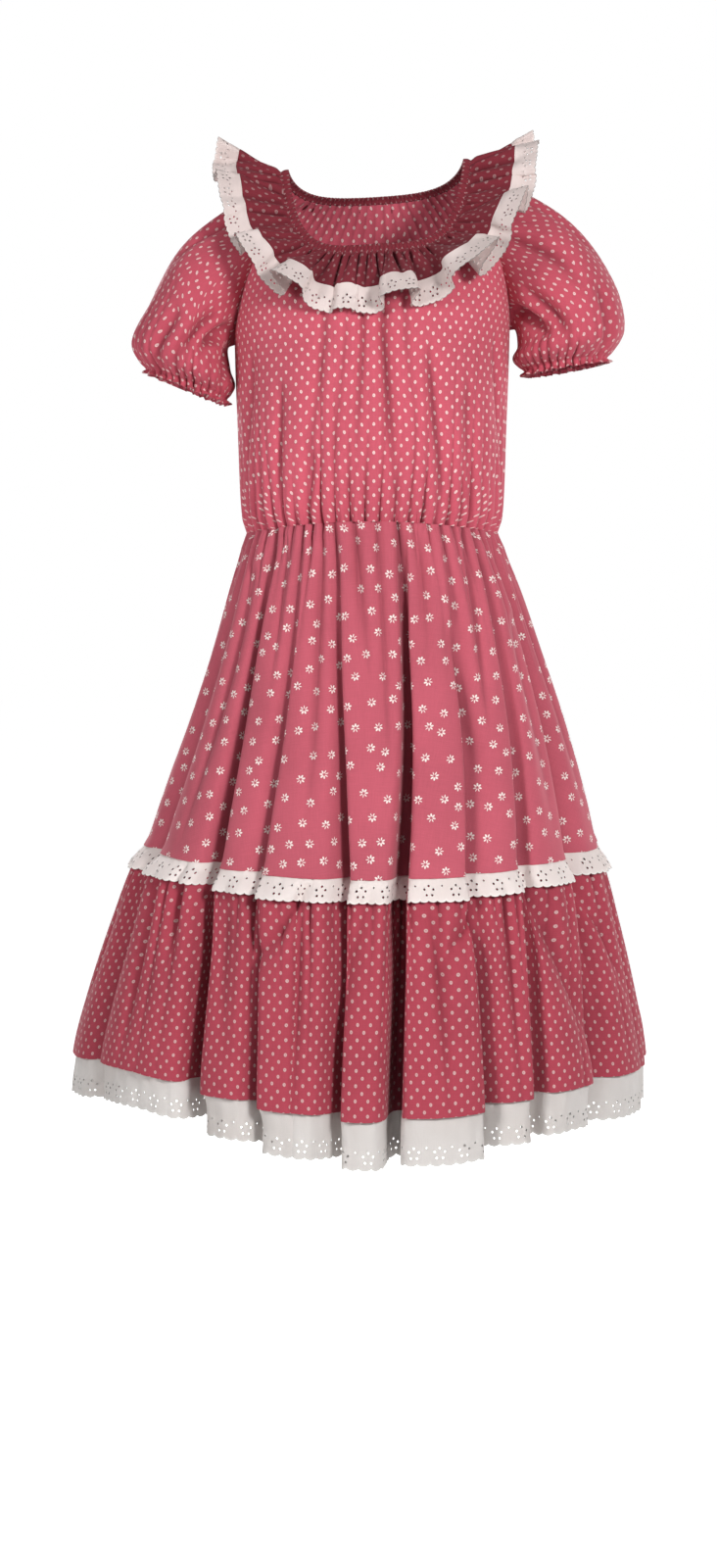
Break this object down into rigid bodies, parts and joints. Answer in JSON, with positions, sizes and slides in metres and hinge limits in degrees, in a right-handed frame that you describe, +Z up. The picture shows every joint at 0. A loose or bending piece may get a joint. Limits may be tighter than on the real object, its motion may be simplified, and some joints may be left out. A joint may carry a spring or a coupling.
{
  "type": "square dance dress",
  "caption": "Knee length cotton square dance dress with a ruffled elastic neckline, puffed sleeves, a full gathered skirt and eyelet lace edging.",
  "frame": {"origin": "midway between the wearer's shoulders, at the height of the shoulder tops, where the dress is held", "axes": "+Z up along the dress, the front faces -Y, and +X points to the wearer's left"},
  "size_m": [0.6338, 0.5534, 1.0883],
  "materials": {
    "dotted_cotton": "plain woven rose red cotton with small off-white ring dots",
    "sprigged_cotton": "plain woven dusty rose cotton with small white flower sprigs",
    "eyelet_lace": "off-white cotton eyelet lace with a scalloped edge"
  },
  "bodies": {
    "root": {"neck_casing": "dotted_cotton", "neck_ruffle": "dotted_cotton", "neck_lace": "eyelet_lace", "bodice_front": "dotted_cotton", "bodice_back": "dotted_cotton", "sleeve_right": "dotted_cotton", "sleeve_left": "dotted_cotton", "skirt_front": "sprigged_cotton", "skirt_back": "sprigged_cotton", "tier_lace": "eyelet_lace", "tier_front_left": "dotted_cotton", "tier_back_left": "dotted_cotton", "tier_back_right": "dotted_cotton", "tier_front_right": "dotted_cotton", "hem_lace_front_left": "eyelet_lace", "hem_lace_back_left": "eyelet_lace", "hem_lace_back_right": "eyelet_lace", "hem_lace_front_right": "eyelet_lace"}
  },
  "joints": []
}
